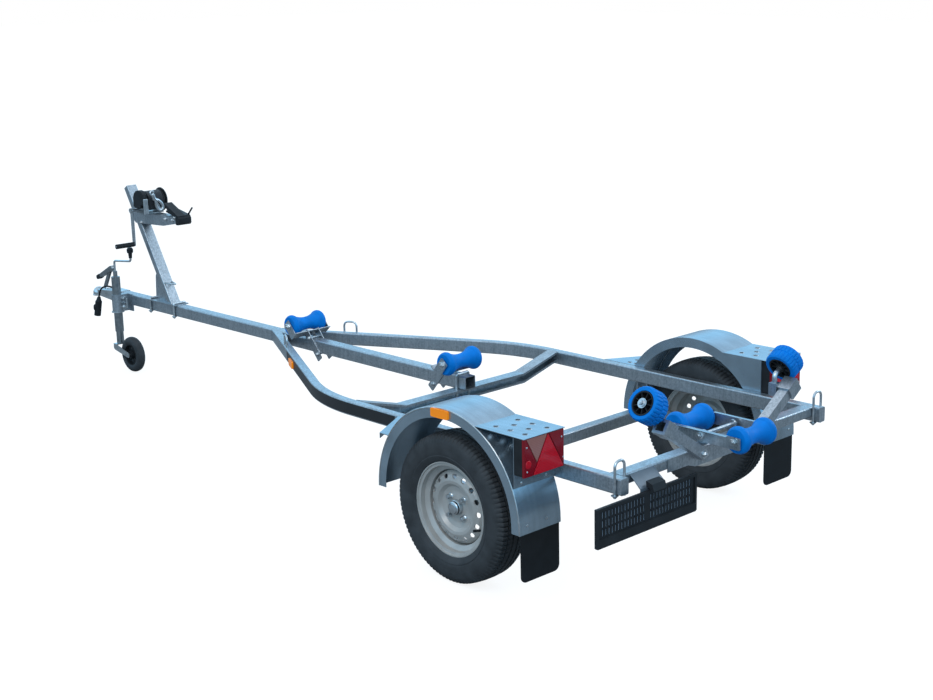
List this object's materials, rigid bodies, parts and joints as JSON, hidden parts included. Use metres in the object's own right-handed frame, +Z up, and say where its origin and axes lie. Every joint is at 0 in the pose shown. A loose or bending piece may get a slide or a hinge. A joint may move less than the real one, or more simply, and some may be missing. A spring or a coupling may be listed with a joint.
{
  "type": "boat trailer",
  "caption": "Galvanised boat trailer on one axle with blue keel rollers, a tilting rear roller cradle, slanted side rollers, hand winch, bow stop, jockey wheel and ball coupling.",
  "frame": {"origin": "on the floor, midway between the trailer's front and rear ends and between its sides", "axes": "+X forward to the coupling, +Y to the left side, +Z up from the floor; the frame leans 1.63 degrees nose down on its jockey wheel"},
  "size_m": [4.7206, 1.662, 1.0422],
  "materials": {
    "zinc": "hot-dip galvanised",
    "tyre": "matt black rubber",
    "rim_paint": "silver paint",
    "blue_rubber": "satin blue rubber",
    "black_plastic": "satin black plastic",
    "black_paint": "satin black paint",
    "red_lens": "gloss red lens",
    "amber": "gloss amber",
    "flap_rubber": "matt black rubber",
    "webbing": "woven strap",
    "bright_zinc": "bright zinc plate",
    "cable_rubber": "black sheath"
  },
  "bodies": {
    "chassis": {"drawbar": "zinc", "side_beams": "zinc", "crossmember_front": "zinc", "crossmember_rear": "zinc", "axle_beam": "zinc", "axle_brackets": "zinc", "swing_arms": "zinc", "mudguards": "zinc", "lamp_boxes": "zinc", "front_steps": "zinc", "tail_lamps": "black_plastic", "tail_lenses": "red_lens", "mudflaps": "flap_rubber", "side_markers": "amber", "plate_frame": "black_plastic", "plate_bracket": "zinc", "plate_lamp": "black_plastic", "winch_post": "zinc", "winch_bracket": "zinc", "bow_stop": "black_plastic", "winch_frame": "bright_zinc", "gear_cover": "black_plastic", "winch_hook": "bright_zinc", "jockey_clamp": "zinc", "jockey_tube": "bright_zinc", "jockey_crank": "bright_zinc", "jockey_knob": "black_plastic", "coupling_head": "bright_zinc", "coupling_handle": "bright_zinc", "keel_brackets": "zinc", "cradle_pivot": "zinc", "wobble_arms": "zinc", "wobble_stems": "bright_zinc", "bent_rods": "bright_zinc", "plug_cable": "cable_rubber", "plug": "black_plastic"},
    "wheel_left": {"tyre_left": "tyre", "rim_left": "rim_paint", "hub_left": "black_paint"},
    "wheel_right": {"tyre_right": "tyre", "rim_right": "rim_paint", "hub_right": "black_paint"},
    "jockey_leg": {"jockey_leg": "bright_zinc"},
    "jockey_fork": {"jockey_fork": "bright_zinc"},
    "jockey_wheel": {"jockey_tyre": "tyre", "jockey_rim": "black_plastic"},
    "winch_drum": {"winch_drum": "bright_zinc", "winch_strap": "webbing"},
    "winch_crank": {"winch_crank": "bright_zinc", "crank_grip": "black_plastic"},
    "keel_roller_front": {"keel_roller_front": "blue_rubber"},
    "keel_roller_rear": {"keel_roller_rear": "blue_rubber"},
    "cradle": {"cradle_frame": "zinc"},
    "cradle_roller_front": {"cradle_roller_front": "blue_rubber"},
    "cradle_roller_rear": {"cradle_roller_rear": "blue_rubber"},
    "wobble_roller_left": {"wobble_tyre_left": "blue_rubber", "wobble_core_left": "black_plastic"},
    "wobble_roller_right": {"wobble_tyre_right": "blue_rubber", "wobble_core_right": "black_plastic"}
  },
  "joints": [
    {"name": "wheel_left_spin", "type": "hinge", "parent": "chassis", "child": "wheel_left", "pos_m": [-1.54442, 0.729, 0.288], "axis": [0, 1, 0], "continuous": true},
    {"name": "wheel_right_spin", "type": "hinge", "parent": "chassis", "child": "wheel_right", "pos_m": [-1.54442, -0.729, 0.288], "axis": [0, 1, 0], "continuous": true},
    {"name": "jockey_lift", "type": "slide", "parent": "chassis", "child": "jockey_leg", "axis": [0.0284, 0, 0.9996], "range_m": [-0.12, 0.06]},
    {"name": "jockey_swivel", "type": "hinge", "parent": "jockey_leg", "child": "jockey_fork", "pos_m": [1.95651, 0.092, 0.0953], "axis": [0.0284, 0, 0.9996], "continuous": true},
    {"name": "jockey_roll", "type": "hinge", "parent": "jockey_fork", "child": "jockey_wheel", "pos_m": [1.82657, 0.092, 0.099], "axis": [0, 1, 0], "continuous": true},
    {"name": "crank_turn", "type": "hinge", "parent": "chassis", "child": "winch_crank", "pos_m": [1.73902, 0, 0.92486], "axis": [0, 1, 0], "continuous": true},
    {"name": "drum_turn", "type": "hinge", "parent": "chassis", "child": "winch_drum", "pos_m": [1.69146, 0, 0.97623], "axis": [0, 1, 0], "continuous": true},
    {"name": "keel_roller_front_spin", "type": "hinge", "parent": "chassis", "child": "keel_roller_front", "pos_m": [0.34809, 0, 0.52526], "axis": [0, 1, 0], "continuous": true},
    {"name": "keel_roller_rear_spin", "type": "hinge", "parent": "chassis", "child": "keel_roller_rear", "pos_m": [-0.7566, 0, 0.5517], "axis": [0, 1, 0], "continuous": true},
    {"name": "cradle_tilt", "type": "hinge", "parent": "chassis", "child": "cradle", "pos_m": [-2.1578, 0, 0.56456], "axis": [0, 1, 0], "range_deg": [-8, 8]},
    {"name": "cradle_roller_front_spin", "type": "hinge", "parent": "cradle", "child": "cradle_roller_front", "pos_m": [-2.02669, 0, 0.56683], "axis": [0, 1, 0], "continuous": true},
    {"name": "cradle_roller_rear_spin", "type": "hinge", "parent": "cradle", "child": "cradle_roller_rear", "pos_m": [-2.30857, 0, 0.57485], "axis": [0, 1, 0], "continuous": true},
    {"name": "wobble_left_spin", "type": "hinge", "parent": "chassis", "child": "wobble_roller_left", "pos_m": [-2.1568, 0.408, 0.7406], "axis": [0.0138, 0.8746, 0.4846], "continuous": true},
    {"name": "wobble_right_spin", "type": "hinge", "parent": "chassis", "child": "wobble_roller_right", "pos_m": [-2.1568, -0.408, 0.7406], "axis": [0.0138, -0.8746, 0.4846], "continuous": true}
  ],
  "couplings": [
    {"joint": "drum_turn", "follows": "crank_turn", "ratio": -0.25}
  ]
}
